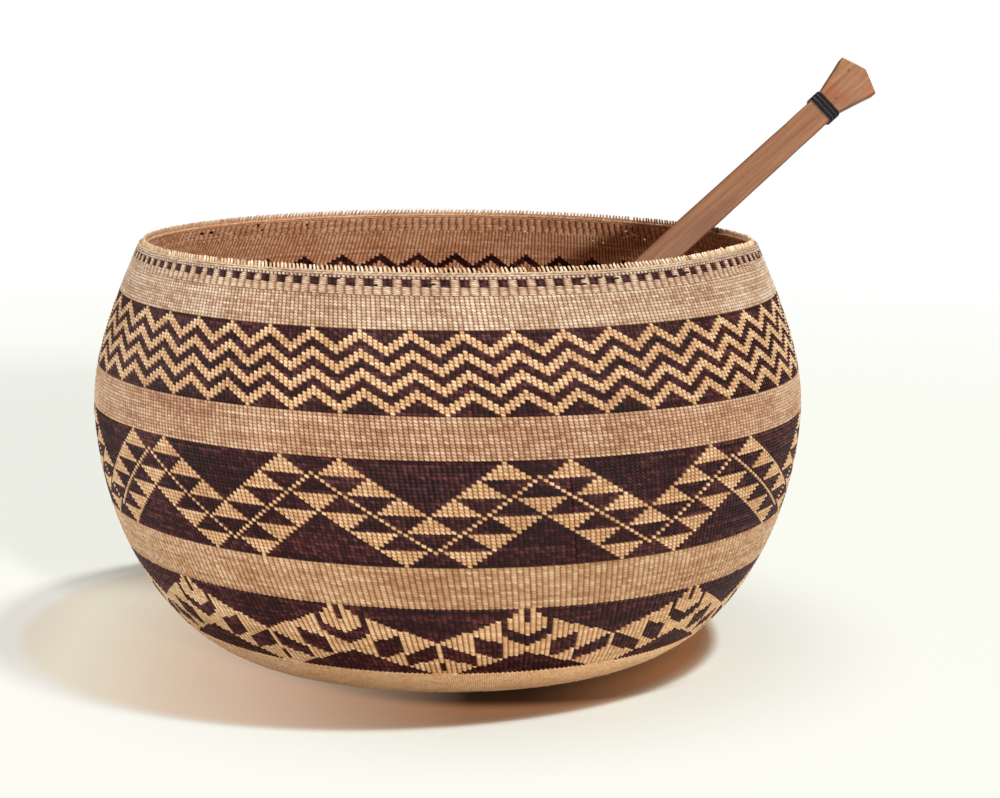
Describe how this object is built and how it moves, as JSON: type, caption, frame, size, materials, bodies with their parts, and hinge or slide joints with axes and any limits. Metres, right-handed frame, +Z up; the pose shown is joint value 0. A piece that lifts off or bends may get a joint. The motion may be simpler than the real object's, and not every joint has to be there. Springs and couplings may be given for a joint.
{
  "type": "cooking basket",
  "caption": "Bowl-shaped twined cooking basket with woven pattern bands, an open mouth and a flat base, holding a carved wooden stirring paddle that leans on the rim and lifts out.",
  "frame": {"origin": "centre of the flat underside, on the basket's own axis", "axes": "+Z up along the basket's axis; +X to the right as the basket is seen from the front, with the paddle's pommel towards +X and a little towards +Y; -Y towards the viewer"},
  "size_m": [0.4906, 0.428, 0.3547],
  "materials": {
    "root_weft": "matte split root",
    "straw_weft": "matte to soft sheen straw-coloured weft",
    "dark_weft": "soft sheen dark brown weft",
    "pale_cord": "matte twined cord",
    "warp_rods": "peeled shoots, cut ends",
    "paddle_wood": "hand-smoothed, unvarnished",
    "black_lashing": "satin black"
  },
  "bodies": {
    "basket": {"base_start_knot": "root_weft", "base_centre_courses": "straw_weft", "base_cord_course": "pale_cord", "base_outer_courses": "straw_weft", "bottom_plain_band": "straw_weft", "lower_pattern_band": "dark_weft", "third_plain_band": "straw_weft", "middle_pattern_band": "dark_weft", "second_plain_band": "straw_weft", "zigzag_band": "dark_weft", "upper_plain_band": "straw_weft", "check_lower_course": "pale_cord", "check_band": "dark_weft", "rim_cord_lower": "pale_cord", "rim_cord_upper": "pale_cord", "warp_tips": "warp_rods"},
    "paddle": {"paddle": "paddle_wood", "neck_ring_1": "black_lashing", "neck_ring_2": "black_lashing", "neck_ring_3": "black_lashing"}
  },
  "joints": [
    {"name": "paddle_lift", "type": "slide", "parent": "basket", "child": "paddle", "axis": [0, 0, 1], "range_m": [0, 0.3]}
  ]
}
